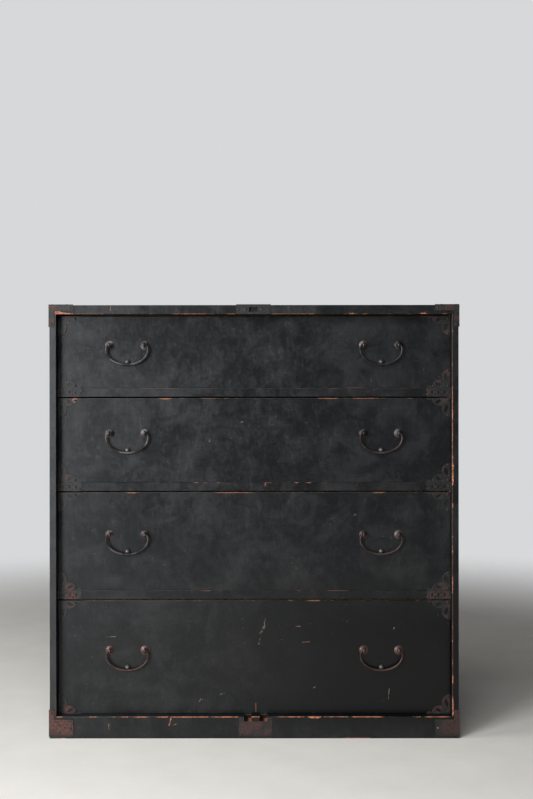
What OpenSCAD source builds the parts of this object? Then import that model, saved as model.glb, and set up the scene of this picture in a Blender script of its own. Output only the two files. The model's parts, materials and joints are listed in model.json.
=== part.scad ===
// Lacquered four-drawer chest with forged bail handles and pierced corner irons.
// Millimetres. Z is up, X runs to the right and the front faces -Y.
// The origin lies on the floor, under the centre of the chest with its irons.

/* [Case] */
// Width over the side boards
case_w = 880; // [640:5:1200]
// Depth from the front edges of the boards to the back
case_d = 430; // [330:5:600]
// Thickness of the side boards
side_t = 14; // [12:0.5:22]
// Thickness of the top board
top_t = 19.5; // [16:0.5:30]
// Height of the front sill below the bottom drawer
sill_h = 47; // [40:1:90]
// Depth of the front sill from front to back
sill_d = 45; // [34:1:80]
// Depth of the rear sill from front to back
rear_sill_d = 32; // [20:1:60]
// How far the drawers and rails stand behind the front edges
recess = 24; // [20:1:40]
// Height of each rail between two drawers
rail_h = 18.5; // [15:0.5:30]
// Depth of each rail from front to back
rail_d = 45; // [30:1:80]
// Thickness of the dust board behind each rail
shelf_t = 9; // [6:0.5:14]
// Thickness of the bottom board
bottom_t = 12; // [8:0.5:20]
// Depth of the grooves in the side boards
groove_d = 5; // [3:0.5:8]
// Length of the tongues that join panels to rails and sill
tongue_l = 6; // [3:0.5:12]
// Thickness of the back boards
back_t = 8; // [5:0.5:14]
// Width of the rebate that holds the back boards
rebate_w = 7; // [4:0.5:10]
// Number of back boards
back_count = 5; // [3:1:8]
// Seam between two back boards
back_seam = 0.8; // [0.2:0.1:2]
// Gap between the back boards and the floor
back_rise = 10; // [2:1:30]
// Number of fingers in each joint of top board and side board
case_fingers = 7; // [3:2:11]

/* [Drawer openings] */
// Height of the top opening
opening_1_h = 159; // [120:1:300]
// Height of the second opening
opening_2_h = 186; // [120:1:300]
// Height of the third opening
opening_3_h = 216; // [120:1:320]
// Height of the bottom opening
opening_4_h = 249; // [120:1:340]

/* [Drawers] */
// Gap above each drawer front
drawer_top_gap = 3; // [1:0.5:6]
// Gap at each side of a drawer
drawer_side_gap = 1; // [0.5:0.1:2.5]
// Running gap under a drawer
drawer_run_gap = 0.3; // [0.1:0.05:1]
// Gap behind a closed drawer
drawer_rear_gap = 6; // [2:1:20]
// Thickness of a drawer front
front_t = 19; // [15:0.5:26]
// Thickness of the drawer sides and back
wall_t = 10; // [7:0.5:14]
// Thickness of a drawer bottom
floor_t = 7; // [5:0.5:10]
// How far the sides are let into the drawer front
side_lap = 11; // [6:0.5:13]
// How far the bottom is let into the drawer front
floor_lap = 9; // [5:0.5:12]
// Step down from the drawer front to the top of the sides
side_drop = 2; // [0.5:0.5:8]
// Number of fingers in each rear corner of a drawer
drawer_fingers = 5; // [3:2:9]

/* [Handles] */
// Distance from the outside of the case to the middle of the nearest handle
handle_inset = 165; // [120:1:230]
// Distance between the two posts of a handle
post_pitch = 76; // [60:1:110]
// Height of the posts above the middle of a drawer front
post_rise = 15; // [0:1:25]
// Distance of the hinge line from the drawer face
eye_out = 9.5; // [9:0.5:14]
// Radius of the bail's pins
pin_r = 1.95; // [1.5:0.05:2.1]
// Radial clearance of the pins in the eyes
pin_clear = 0.08; // [0.03:0.01:0.1]
// Radius of the bar that forms an eye
eye_bar_r = 1.9; // [1.6:0.05:2.2]
// Half the widest distance between the arms of a bail
bail_half_w = 45.5; // [45:0.5:60]
// Drop of the bail's middle below the hinge line
bail_drop = 42.3; // [36:0.5:48]
// Depth of the bail's widest place below the hinge line
bail_waist = 10; // [6:0.5:14]
// Radius of the bail in its middle
bail_mid_r = 2.8; // [2.4:0.1:3.6]
// Radius of the bail at its elbows
bail_end_r = 2.3; // [2.2:0.05:2.6]
// Radius of a rosette
rosette_r = 10; // [8:0.5:14]
// Height of a rosette
rosette_h = 3.2; // [2:0.1:3.4]
// Radius of a post where it passes the drawer front
leg_r = 2.3; // [1.8:0.1:2.6]
// Slit between the two legs of a post
leg_slit = 0.5; // [0.3:0.1:1]
// Length of each clenched leg inside the drawer
clench_l = 14; // [8:1:24]
// Radius of the bumper stud
stud_r = 5.2; // [4:0.1:6]
// Drop of the bumper stud below the hinge line
stud_drop = 36.5; // [34:0.5:38]
// Gap between a hanging bail and its stud
stud_gap = 0.3; // [0.2:0.1:1]

/* [Irons] */
// Thickness of the irons
iron_t = 1.5; // [1:0.1:2.5]
// Length of the irons along the front of top board and sill
corner_w = 51; // [40:1:80]
// Height of the upper irons on the front edge of the top board
upper_band_h = 12; // [8:0.5:15]
// Length of the irons down the edges of the side boards
corner_h = 47; // [36:1:90]
// Length of the irons along the sides, from front to back
corner_d = 48; // [40:1:90]
// Gap between the lower irons and the floor
corner_rise = 4; // [2:1:14]
// Height of the lower irons on the front of the sill
foot_band_h = 37; // [20:1:40]
// Height that the lower irons climb up the side boards
foot_h = 58; // [50:1:90]
// How far the corner irons leave the inner edges of the side boards free
edge_inset = 3.5; // [1:0.5:5]
// Radius of the rounded inner foot of the lower irons
foot_round = 6; // [2:0.5:10]
// Width of a drawer's corner plates
plate_w = 52; // [44:1:80]
// Height of a drawer's corner plates
plate_h = 42; // [36:1:54]
// Radius of the small lobe at the tip of a corner plate
tip_r = 7; // [5:0.5:8]
// Distance of the nails from the straight edges of a corner plate
nail_inset = 4.5; // [4:0.5:6]
// Height of the leaves pierced in the rail plates
leaf_l = 9; // [6:0.5:11]
// Width of the leaves pierced in the rail plates
leaf_w = 4.6; // [3:0.2:6]
// Length of the plates on the ends of the rails
rail_plate_l = 53; // [40:1:90]
// Width of the top lock plate
top_plate_w = 74; // [66:1:110]
// Offset of the top lock plate from the middle
top_plate_x = -1; // [-40:1:40]
// How far the top lock plate is folded back over the top
top_plate_fold = 26; // [18:1:60]
// Width of the slot in the top lock plate
slot_w = 19; // [10:1:24]
// Height of the slot in the top lock plate
slot_h = 10; // [5:0.5:11]
// Depth of the slot's mortise in the top board
slot_d = 4; // [3:1:18]
// Width of the bottom lock plate
low_plate_w = 72; // [66:1:110]
// Height of the bottom lock plate
low_plate_h = 42; // [30:1:46]
// Offset of the bottom lock plate from the middle
low_plate_x = 3; // [-40:1:40]
// Width of the notch in the bottom lock plate
notch_w = 50; // [46:1:56]
// Width of each mortise in the sill
mortise_w = 16; // [8:1:19]
// Height of the mortises and of the notch
mortise_h = 10; // [6:1:20]
// Depth of the mortises in the sill
mortise_d = 22; // [6:1:24]
// Distance between the middles of the two mortises
mortise_pitch = 34; // [28:1:34]

/* [Nails] */
// Radius of a nail's head
nail_r = 2.6; // [1.5:0.1:3.5]
// Height of a nail's head
nail_head_h = 1.4; // [0.8:0.1:2]
// Radius of a nail's shank
nail_shank_r = 1.1; // [0.7:0.1:1.4]
// Length of a nail's shank below its head
nail_l = 10; // [7:0.5:11]
// Radius of the two large heads on the top lock plate
boss_r = 3.6; // [3:0.1:5]
// Distance between the middles of the two large heads
boss_pitch = 35; // [34:0.5:40]
// Radial clearance of shanks and posts in their holes
hole_clear = 0.05; // [0.02:0.01:0.2]

/* [Hidden] */
$fn = 48;
eps = 0.01;

// ---------- places that follow from the sizes above ----------
front_y = (iron_t + nail_head_h - case_d) / 2;
back_y = front_y + case_d;
face_y = front_y + recess;
half_w = case_w / 2;
handle_x = half_w - handle_inset;
in_x = half_w - side_t;
back_face_y = back_y - back_t;
opening_h = [opening_1_h, opening_2_h, opening_3_h, opening_4_h];
drawers = [0 : 3];
rails = [0 : 2];
sides = [-1, 1];
function floor_z(i) = i == 3 ? sill_h : floor_z(i + 1) + opening_h[i + 1] + rail_h;
under_top_z = floor_z(0) + opening_h[0];
case_h = under_top_z + top_t;

drawer_x = in_x - drawer_side_gap;
inner_y = face_y + front_t;
rear_y = back_face_y - drawer_rear_gap;
function low_z(i) = floor_z(i) + drawer_run_gap;
function drawer_h(i) = opening_h[i] - drawer_run_gap - drawer_top_gap;
function wall_lo(i) = low_z(i) + floor_t;
function wall_hi(i) = low_z(i) + drawer_h(i) - side_drop;
function post_z(i) = low_z(i) + drawer_h(i) / 2 + post_rise;
hinge_y = face_y - eye_out;
// How much of an eye's wall the bore takes away
bore_cut = 0.15;
eye_ring_r = pin_r + pin_clear + eye_bar_r - bore_cut;
post_half = post_pitch / 2;

// ---------- small fixed distances and proportions ----------
// Nails on the front bands of the irons, from the end of the band
band_nail_in = 6;
// Nails on top of the chest, further back than on the sides
top_nail_back = 4;
// Nails of the lock plates, from the ends and from the rear edge
lock_nail_in = 5;
lock_nail_back = 8;
// Nails at the tip of a corner plate, in tip radii from the end
tip_nail = 2.2;
// The two lobes of a corner plate, as parts of its height and width
upper_lobe = 0.44;
lower_lobe = 0.34;
lower_lobe_at = 0.43;
lobe_neck = 0.85;
// The two leaves in a corner plate, as parts of the lobes
upper_leaf = [1, 0.42];
lower_leaf = [0.85, 0.37];
upper_leaf_at = 0.46;
lower_leaf_at = 0.45;
upper_leaf_turn = -18;
lower_leaf_turn = -62;
// The heights of the small holes in a rail plate, as parts of the rail
rail_holes_at = [0.27, 0.73];
// Play below the end of a nail
nail_end_gap = 0.2;
// Rim of a rosette, and the step in to its dome
rosette_rim_h = 0.8;
rosette_step = 0.6;
// How far a pin reaches past its eye
pin_over = 1.5;

// ---------- names of the nodes ----------
function names(i, kinds) = [for (kind = kinds) str("drawer_", i + 1, "_", kind)];
CASE_NODES = ["side_board_left", "side_board_right", "top_board", "bottom_board",
    "front_sill", "rear_sill", "rail_1", "rail_2", "rail_3",
    "dust_board_1", "dust_board_2", "dust_board_3", "back_boards",
    "top_corner_irons", "bottom_corner_irons", "top_lock_plate", "bottom_lock_plate",
    "rail_end_plates", "case_nails"];
DRAWER_KINDS = ["front", "left_side", "right_side", "back", "bottom",
    "corner_plates", "handle_posts", "nails", "left_bail", "right_bail"];

// ---------- colours ----------
lacquer = [0.09, 0.09, 0.10];
raw_wood = [0.62, 0.44, 0.27];
iron = [0.20, 0.17, 0.16];
dark_iron = [0.13, 0.12, 0.12];

// ---------- shared shapes ----------
// A box between two opposite corners
module block(lo, hi) {
    translate(lo)
        cube(hi - lo);
}

// Turns +Z towards the front, so that a flat outline in X and Y stands in X and Z
module facing_front(y) {
    translate([0, y, 0])
        rotate([90, 0, 0])
            children();
}

// The slabs of a finger joint along one axis: every second one of count
module fingers(count, lo, hi, first, along) {
    step = (hi[along] - lo[along]) / count;
    for (k = [first : 2 : count - 1]) {
        slab_lo = [for (a = [0 : 2]) a == along ? lo[a] + k * step : lo[a]];
        slab_hi = [for (a = [0 : 2]) a == along ? lo[a] + (k + 1) * step : hi[a]];
        block(slab_lo, slab_hi);
    }
}

// A domed nail with its shank, its head on the plane z = 0
module nail(head_r = nail_r, shank_r = nail_shank_r) {
    ball_r = (head_r * head_r + nail_head_h * nail_head_h) / (2 * nail_head_h);
    intersection() {
        translate([0, 0, nail_head_h - ball_r])
            sphere(r = ball_r);
        cylinder(r = head_r + 1, h = nail_head_h + 1);
    }
    translate([0, 0, -nail_l])
        cylinder(r = shank_r, h = nail_l + eps);
}

// The hole that a nail needs
module nail_hole(shank_r = nail_shank_r) {
    translate([0, 0, -nail_l - nail_end_gap])
        cylinder(r = shank_r + hole_clear, h = nail_l + 1);
}

// ---------- flat outlines of the irons ----------
// A pointed leaf that stands up, its middle at the origin
module leaf(l, w) {
    r = (l * l + w * w) / (4 * w);
    intersection_for (s = sides)
        translate([s * (r - w / 2), 0])
            circle(r = r);
}

// A corner plate, its corner at the origin: a lobe up its side, a lobe along its foot and a small tip
module lobed_plate(w, h) {
    upper_r = h * upper_lobe;
    lower_r = w * lower_lobe;
    lower_x = w * lower_lobe_at;
    difference() {
        intersection() {
            square([w, h]);
            union() {
                square([lower_x, lower_r * lobe_neck]);
                translate([0, h - upper_r])
                    circle(r = upper_r);
                translate([lower_x, 0])
                    circle(r = lower_r);
                translate([w - tip_r, -tip_r / 4])
                    circle(r = tip_r);
            }
        }
        translate([upper_r * upper_leaf_at, h - upper_r])
            rotate(upper_leaf_turn)
                leaf(upper_r * upper_leaf[0], upper_r * upper_leaf[1]);
        translate([w / 2, lower_r * lower_leaf_at])
            rotate(lower_leaf_turn)
                leaf(lower_r * lower_leaf[0], lower_r * lower_leaf[1]);
    }
}

// Nail places on a lobed plate
function lobed_nails(w, h) = [[nail_inset, nail_inset], [w - tip_nail * tip_r, nail_inset],
    [nail_inset, h - nail_inset]];

// The plate on one end of a rail, with a cusped inner end and a row of piercings
module rail_plate() {
    bump = rail_h / 4;
    difference() {
        union() {
            square([rail_plate_l - bump, rail_h]);
            for (k = [1, 3])
                translate([rail_plate_l - bump, k * bump])
                    circle(r = bump);
        }
        for (k = [1 : 3])
            translate([rail_plate_l * k / 4, rail_h / 2])
                leaf(leaf_l, leaf_w);
        for (k = [1 : 2], v = rail_holes_at)
            translate([rail_plate_l * (k + 0.5) / 4, rail_h * v])
                circle(r = leaf_w / 3);
    }
}
function rail_nails() = [[nail_inset, rail_h / 2], [rail_plate_l - rail_h / 4, rail_h * rail_holes_at[0]]];

// ---------- the nails, each as [place, direction of its head] ----------
nail_front = [90, 0, 0];
nail_up = [0, 0, 0];
function nail_side(s) = [0, s * 90, 0];
iron_face_y = front_y - iron_t;
plate_face_y = face_y - iron_t;
iron_x = half_w + iron_t;
top_face_z = case_h + iron_t;

corner_front_nails = [for (s = sides) each [
    [[s * (half_w - corner_w + band_nail_in), iron_face_y, case_h - upper_band_h / 2], nail_front],
    [[s * (half_w - (side_t - edge_inset) / 2), iron_face_y, case_h - corner_h + band_nail_in], nail_front],
    [[s * (half_w - corner_w + band_nail_in), iron_face_y, corner_rise + foot_band_h / 2], nail_front],
    [[s * (half_w - (side_t - edge_inset) / 2), iron_face_y, corner_rise + foot_h - band_nail_in],
        nail_front]]];
corner_side_nails = [for (s = sides, p = lobed_nails(corner_d, corner_h)) each [
    [[s * iron_x, front_y + p[0], case_h - p[1]], nail_side(s)],
    [[s * iron_x, front_y + p[0], corner_rise + p[1] * foot_h / corner_h], nail_side(s)]]];
corner_top_nails = [for (s = sides, p = lobed_nails(corner_w, corner_d))
    [[s * (half_w - p[0]), front_y + p[1] + top_nail_back, top_face_z], nail_up]];
lock_nails = [for (s = sides) each [
    [[top_plate_x + s * (top_plate_w / 2 - lock_nail_in), iron_face_y, case_h - top_t / 2], nail_front],
    [[top_plate_x + s * (top_plate_w / 2 - lock_nail_back), front_y + top_plate_fold - lock_nail_back,
        top_face_z], nail_up],
    [[low_plate_x + s * (low_plate_w / 2 - lock_nail_in), iron_face_y,
        sill_h - low_plate_h + lock_nail_in], nail_front],
    [[low_plate_x + s * (low_plate_w / 2 - lock_nail_in), iron_face_y, sill_h - lock_nail_in],
        nail_front]]];
rail_plate_nails = [for (i = rails, s = sides, p = rail_nails())
    [[s * (in_x - p[0]), plate_face_y, rail_z(i) + p[1]], nail_front]];
case_nail_places = concat(corner_front_nails, corner_side_nails, corner_top_nails,
    lock_nails, rail_plate_nails);
boss_places = [for (s = sides)
    [[top_plate_x + s * boss_pitch / 2, iron_face_y, case_h - top_t / 2], nail_front]];

module at_place(place) {
    translate(place[0])
        rotate(place[1])
            children();
}

module case_nail_holes() {
    for (place = concat(case_nail_places, boss_places))
        at_place(place)
            nail_hole();
}

// ---------- case: wood ----------
function rail_z(i) = floor_z(i) - rail_h;

// Side board: grooves for sill, rails and panels, rebate for the back, fingers on top
module side_board(s) {
    color(lacquer)
        difference() {
            mirror([s < 0 ? 1 : 0, 0, 0])
                difference() {
                    side_blank();
                    side_grooves();
                }
            case_nail_holes();
        }
}

module side_blank() {
    block([in_x, front_y, 0], [half_w, back_y, under_top_z]);
    fingers(case_fingers, [in_x, front_y, under_top_z - eps], [half_w, back_y, case_h], 1, 1);
}

module side_grooves() {
    x0 = in_x - 1;
    x1 = in_x + groove_d;
    for (i = rails) {
        block([x0, face_y, rail_z(i)], [x1, face_y + rail_d, floor_z(i)]);
        block([x0, face_y + rail_d - eps, floor_z(i) - shelf_t], [x1, back_face_y, floor_z(i)]);
    }
    block([x0, front_y + sill_d / 3, -1], [x1, front_y + sill_d, sill_h]);
    block([x0, front_y + sill_d - eps, sill_h - bottom_t], [x1, back_face_y, sill_h]);
    block([x0, back_face_y, back_rise], [in_x + rebate_w, back_y + 1, under_top_z + rebate_w]);
}

module top_board() {
    color(lacquer)
        difference() {
            block([-half_w, front_y, under_top_z], [half_w, back_y, case_h]);
            for (s = sides)
                mirror([s < 0 ? 1 : 0, 0, 0])
                    fingers(case_fingers, [in_x, front_y, under_top_z - 1],
                        [half_w + 1, back_y, case_h + 1], 1, 1);
            block([-in_x - rebate_w, back_face_y, under_top_z - 1],
                [in_x + rebate_w, back_y + 1, under_top_z + rebate_w]);
            translate([top_plate_x, 0, case_h - top_t / 2])
                block([-slot_w / 2, front_y - 1, -slot_h / 2], [slot_w / 2, front_y + slot_d, slot_h / 2]);
            case_nail_holes();
        }
}

// A panel that runs in the side grooves, with a tongue along its front edge
module panel(front, thick, top_z) {
    end_x = in_x + groove_d;
    block([-end_x, front, top_z - thick], [end_x, back_face_y, top_z]);
    block([-in_x, front - tongue_l, top_z - thick * 2 / 3], [in_x, front + eps, top_z - thick / 3]);
}

// The groove that takes a panel's tongue
module tongue_groove(front, thick, top_z) {
    block([-in_x, front - tongue_l, top_z - thick * 2 / 3], [in_x, front + 1, top_z - thick / 3]);
}

module bottom_board() {
    color(raw_wood)
        panel(front_y + sill_d, bottom_t, sill_h);
}

module dust_board(i) {
    color(raw_wood)
        panel(face_y + rail_d, shelf_t, floor_z(i));
}

module rail(i) {
    end_x = in_x + groove_d;
    color(lacquer)
        difference() {
            block([-end_x, face_y, rail_z(i)], [end_x, face_y + rail_d, floor_z(i)]);
            tongue_groove(face_y + rail_d, shelf_t, floor_z(i));
            case_nail_holes();
        }
}

module front_sill() {
    color(lacquer)
        difference() {
            union() {
                block([-in_x, front_y, 0], [in_x, front_y + sill_d, sill_h]);
                block([-in_x - groove_d, front_y + sill_d / 3, 0],
                    [in_x + groove_d, front_y + sill_d, sill_h]);
            }
            tongue_groove(front_y + sill_d, bottom_t, sill_h);
            for (s = sides)
                translate([low_plate_x + s * mortise_pitch / 2, front_y, sill_h])
                    block([-mortise_w / 2, -1, -mortise_h], [mortise_w / 2, mortise_d, 1]);
            case_nail_holes();
        }
}

module rear_sill() {
    color(raw_wood)
        block([-in_x, back_face_y - rear_sill_d, 0], [in_x, back_face_y, sill_h - bottom_t]);
}

module back_boards() {
    pitch = (under_top_z + rebate_w - back_rise) / back_count;
    color(raw_wood)
        for (k = [0 : back_count - 1]) {
            seam = k < back_count - 1 ? back_seam : 0;
            z0 = back_rise + k * pitch;
            block([-in_x - rebate_w, back_face_y, z0], [in_x + rebate_w, back_y, z0 + pitch - seam]);
        }
}

// ---------- case: irons ----------
// What a lobed plate leaves away from its rectangle, past the two free edges
module lobed_waste(w, h) {
    difference() {
        square([w + 1, h + 1]);
        lobed_plate(w, h);
    }
}

// Cuts the outline of the plate that lies on the side board, hanging down or standing up
module side_cutter(z, up, h) {
    translate([half_w - 1, front_y, z])
        mirror([0, 0, up < 0 ? 1 : 0])
            rotate([90, 0, 90])
                linear_extrude(iron_t + 2)
                    lobed_waste(corner_d, h);
}

// Upper corner iron on the right: front, top and side in one sheet
module upper_iron() {
    x0 = half_w - corner_w;
    z0 = case_h - corner_h;
    difference() {
        block([x0, front_y - iron_t, z0], [iron_x, front_y + corner_d, top_face_z]);
        block([x0 - 1, front_y, z0 - 1], [half_w, front_y + corner_d + 1, case_h]);
        block([x0 - 1, front_y - iron_t - 1, z0 - 1],
            [half_w - side_t + edge_inset, front_y + 1, case_h - upper_band_h]);
        side_cutter(case_h, -1, corner_h);
        translate([half_w, front_y, case_h - 1])
            mirror([1, 0, 0])
                linear_extrude(iron_t + 2)
                    lobed_waste(corner_w, corner_d);
    }
}

// Lower corner iron on the right: front and side in one sheet, rounded at its inner foot
module lower_iron() {
    x0 = half_w - corner_w;
    z1 = corner_rise + foot_h;
    difference() {
        block([x0, front_y - iron_t, corner_rise], [iron_x, front_y + corner_d, z1]);
        block([x0 - 1, front_y, corner_rise - 1], [half_w, front_y + corner_d + 1, z1 + 1]);
        block([x0 - 1, front_y - iron_t - 1, corner_rise + foot_band_h],
            [half_w - side_t + edge_inset, front_y + 1, z1 + 1]);
        side_cutter(corner_rise, 1, foot_h);
        translate([x0 + foot_round, front_y + 1, corner_rise + foot_round])
            rotate([90, 0, 0])
                linear_extrude(iron_t + 2)
                    difference() {
                        translate([-foot_round - 1, -foot_round - 1])
                            square(foot_round + 1);
                        circle(r = foot_round);
                    }
    }
}

module both_sides() {
    for (s = sides)
        mirror([s < 0 ? 1 : 0, 0, 0])
            children();
}

module top_corner_irons() {
    color(iron)
        difference() {
            both_sides()
                upper_iron();
            case_nail_holes();
        }
}

module bottom_corner_irons() {
    color(iron)
        difference() {
            both_sides()
                lower_iron();
            case_nail_holes();
        }
}

// Plate over the slot in the top board, folded back over the top
module top_lock_plate() {
    color(iron)
        difference() {
            translate([top_plate_x, 0, 0])
                difference() {
                    union() {
                        block([-top_plate_w / 2, front_y - iron_t, under_top_z],
                            [top_plate_w / 2, front_y, top_face_z]);
                        block([-top_plate_w / 2, front_y - eps, case_h],
                            [top_plate_w / 2, front_y + top_plate_fold, top_face_z]);
                    }
                    translate([0, front_y, case_h - top_t / 2])
                        cube([slot_w, 4 * iron_t, slot_h], center = true);
                }
            case_nail_holes();
        }
}

// Plate round the two mortises in the sill
module bottom_lock_plate() {
    color(iron)
        difference() {
            translate([low_plate_x, 0, sill_h])
                difference() {
                    block([-low_plate_w / 2, front_y - iron_t, -low_plate_h], [low_plate_w / 2, front_y, 0]);
                    block([-notch_w / 2, front_y - iron_t - 1, -mortise_h], [notch_w / 2, front_y + 1, 1]);
                }
            case_nail_holes();
        }
}

module rail_end_plates() {
    color(iron)
        difference() {
            both_sides()
                for (i = rails)
                    facing_front(face_y)
                        linear_extrude(iron_t)
                            translate([in_x, rail_z(i)])
                                mirror([1, 0])
                                    rail_plate();
            case_nail_holes();
        }
}

module case_nails() {
    color(dark_iron) {
        for (place = case_nail_places)
            at_place(place)
                nail();
        for (place = boss_places)
            at_place(place)
                nail(boss_r);
    }
}

// ---------- drawers: wood ----------
module drawer_front(i) {
    lo = low_z(i);
    color(lacquer)
        difference() {
            block([-drawer_x, face_y, lo], [drawer_x, inner_y, lo + drawer_h(i)]);
            both_sides()
                block([drawer_x - wall_t, inner_y - side_lap, wall_lo(i)],
                    [drawer_x + 1, inner_y + 1, wall_hi(i)]);
            block([-drawer_x - 1, inner_y - floor_lap, lo - 1], [drawer_x + 1, inner_y + 1, lo + floor_t]);
            drawer_holes(i);
        }
}

// Right side of a drawer, or the left one with s = -1
module drawer_side(i, s) {
    color(raw_wood)
        mirror([s < 0 ? 1 : 0, 0, 0])
            difference() {
                block([drawer_x - wall_t, inner_y - side_lap, wall_lo(i)], [drawer_x, rear_y, wall_hi(i)]);
                fingers(drawer_fingers, [drawer_x - wall_t - 1, rear_y - wall_t, wall_lo(i)],
                    [drawer_x + 1, rear_y + 1, wall_hi(i)], 1, 2);
                at_corners(i)
                    at_plate_nails()
                        nail_hole();
            }
}

module drawer_back(i) {
    color(raw_wood)
        difference() {
            block([-drawer_x, rear_y - wall_t, wall_lo(i)], [drawer_x, rear_y, wall_hi(i)]);
            both_sides()
                fingers(drawer_fingers, [drawer_x - wall_t, rear_y - wall_t - 1, wall_lo(i)],
                    [drawer_x + 1, rear_y + 1, wall_hi(i)], 0, 2);
        }
}

module drawer_bottom(i) {
    color(raw_wood)
        block([-drawer_x, inner_y - floor_lap, low_z(i)], [drawer_x, rear_y, low_z(i) + floor_t]);
}

// ---------- drawers: irons, nails and posts ----------
// Runs the children once for each corner of a drawer front
module at_corners(i) {
    both_sides() {
        translate([drawer_x, 0, low_z(i)])
            mirror([1, 0, 0])
                children();
        translate([drawer_x, 0, low_z(i) + drawer_h(i)])
            mirror([0, 0, 1])
                mirror([1, 0, 0])
                    children();
    }
}

module drawer_corner_plates(i) {
    color(iron)
        difference() {
            at_corners(i)
                facing_front(face_y)
                    linear_extrude(iron_t)
                        lobed_plate(plate_w, plate_h);
            drawer_holes(i);
        }
}

// Runs the children once for each handle, with its hinge line on the X axis
module at_handles(i) {
    for (s = sides)
        translate([s * handle_x, hinge_y, post_z(i)])
            children();
}

module at_plate_nails() {
    for (p = lobed_nails(plate_w, plate_h))
        translate([p[0], plate_face_y, p[1]])
            rotate(nail_front)
                children();
}

// The stud's ball stands so far out that the hanging bail rests on it
stud_reach = stud_r + bail_mid_r + stud_gap;
stud_lead = sqrt(pow(stud_reach, 2) - pow(bail_drop - stud_drop, 2));
stud_stand = max(eye_out - stud_lead, 0.5);

module bumper_stud() {
    translate([0, eye_out, -stud_drop])
        rotate(nail_front) {
            intersection() {
                translate([0, 0, stud_stand])
                    sphere(r = stud_r);
                cylinder(r = stud_r + 1, h = stud_stand + stud_r + 1);
            }
            cylinder(r = stud_r, h = stud_stand);
            translate([0, 0, -nail_l])
                cylinder(r = nail_shank_r, h = nail_l + eps);
        }
}

module drawer_nails(i) {
    color(dark_iron) {
        at_corners(i)
            at_plate_nails()
                nail();
        at_handles(i)
            bumper_stud();
    }
}

module drawer_holes(i) {
    at_corners(i)
        at_plate_nails()
            nail_hole();
    at_handles(i) {
        translate([0, eye_out, -stud_drop])
            rotate(nail_front)
                nail_hole();
        for (s = sides)
            translate([s * post_half, eye_out + front_t + 1, 0])
                rotate(nail_front)
                    cylinder(r = leg_r + hole_clear, h = front_t + 2);
    }
}

// Domed washer under the eye of a post
module rosette() {
    cap_r = rosette_r - rosette_step;
    cap_h = rosette_h - rosette_rim_h;
    ball_r = (cap_r * cap_r + cap_h * cap_h) / (2 * cap_h);
    difference() {
        union() {
            cylinder(r = rosette_r, h = rosette_rim_h);
            intersection() {
                translate([0, 0, rosette_h - ball_r])
                    sphere(r = ball_r);
                translate([0, 0, rosette_rim_h - eps])
                    cylinder(r = cap_r + 1, h = cap_h + 1);
            }
        }
        translate([0, 0, -1])
            cylinder(r = leg_r + hole_clear, h = rosette_h + 2);
    }
}

clench_r = leg_r * 0.48;

// Split pin: an eye, two legs through the drawer front, each clenched inside
module split_pin() {
    difference() {
        union() {
            rotate([0, 90, 0])
                rotate_extrude()
                    translate([eye_ring_r, 0])
                        circle(r = eye_bar_r);
            translate([0, eye_out + front_t + clench_r, 0])
                rotate([90, 0, 0])
                    cylinder(r = leg_r, h = eye_out + front_t + clench_r - eye_ring_r);
            translate([0, eye_out + front_t + clench_r + hole_clear, 0])
                cylinder(r = clench_r, h = 2 * clench_l, center = true);
        }
        rotate([0, 90, 0])
            cylinder(r = pin_r + pin_clear, h = 4 * eye_bar_r, center = true);
        translate([-leg_r - 1, eye_ring_r + eye_bar_r + 1, -leg_slit / 2])
            cube([2 * leg_r + 2, eye_out + front_t - eye_ring_r - eye_bar_r - 2, leg_slit]);
    }
}

module handle_posts(i) {
    color(iron)
        at_handles(i)
            for (s = sides)
                translate([s * post_half, 0, 0]) {
                    split_pin();
                    translate([0, eye_out, 0])
                        rotate(nail_front)
                            rosette();
                }
}

// ---------- bails ----------
// The bar follows part of an ellipse and turns in at both ends to the pins
bail_steps = 20;
bail_sweep = 102;
bail_facets = 10;
elbow_gap = 0.5;
elbow_x = post_half + eye_bar_r + elbow_gap;
function bail_point(a) = [bail_half_w * sin(a), -bail_waist - (bail_drop - bail_waist) * cos(a)];
bail_path = concat([[-elbow_x, 0]],
    [for (k = [0 : bail_steps]) bail_point(bail_sweep * (2 * k / bail_steps - 1))],
    [[elbow_x, 0]]);
bail_last = len(bail_path) - 1;
function bail_dir(k) =
    k == 0 ? [-1, 0] :
    k == bail_last ? [-1, 0] :
    (bail_path[k + 1] - bail_path[k - 1]) / norm(bail_path[k + 1] - bail_path[k - 1]);
function bail_radius(k) =
    let (off = abs(2 * k / bail_last - 1))
    bail_end_r + (bail_mid_r - bail_end_r) * (1 - off * off);
function bail_ring(k) =
    let (d = bail_dir(k), p = bail_path[k], r = bail_radius(k))
    [for (j = [0 : bail_facets - 1])
        let (a = 360 * (j + 0.5) / bail_facets)
        [p[0] - d[1] * r * cos(a), r * sin(a), p[1] + d[0] * r * cos(a)]];

module bail() {
    n = bail_facets;
    points = [for (k = [0 : bail_last]) each bail_ring(k)];
    walls = [for (k = [0 : bail_last - 1], j = [0 : n - 1])
        let (a = k * n + j, b = k * n + (j + 1) % n)
        each [[a, b, b + n], [a, b + n, a + n]]];
    first_cap = [[for (j = [0 : n - 1]) n - 1 - j]];
    last_cap = [[for (j = [0 : n - 1]) bail_last * n + j]];
    polyhedron(points, concat(walls, first_cap, last_cap));
    both_sides()
        translate([post_half - eye_bar_r - pin_over, 0, 0])
            rotate([0, 90, 0])
                cylinder(r = pin_r, h = 2 * eye_bar_r + elbow_gap + pin_over + 1);
}

module drawer_bail(i, s) {
    color(dark_iron)
        translate([s * handle_x, hinge_y, post_z(i)])
            bail();
}

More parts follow.
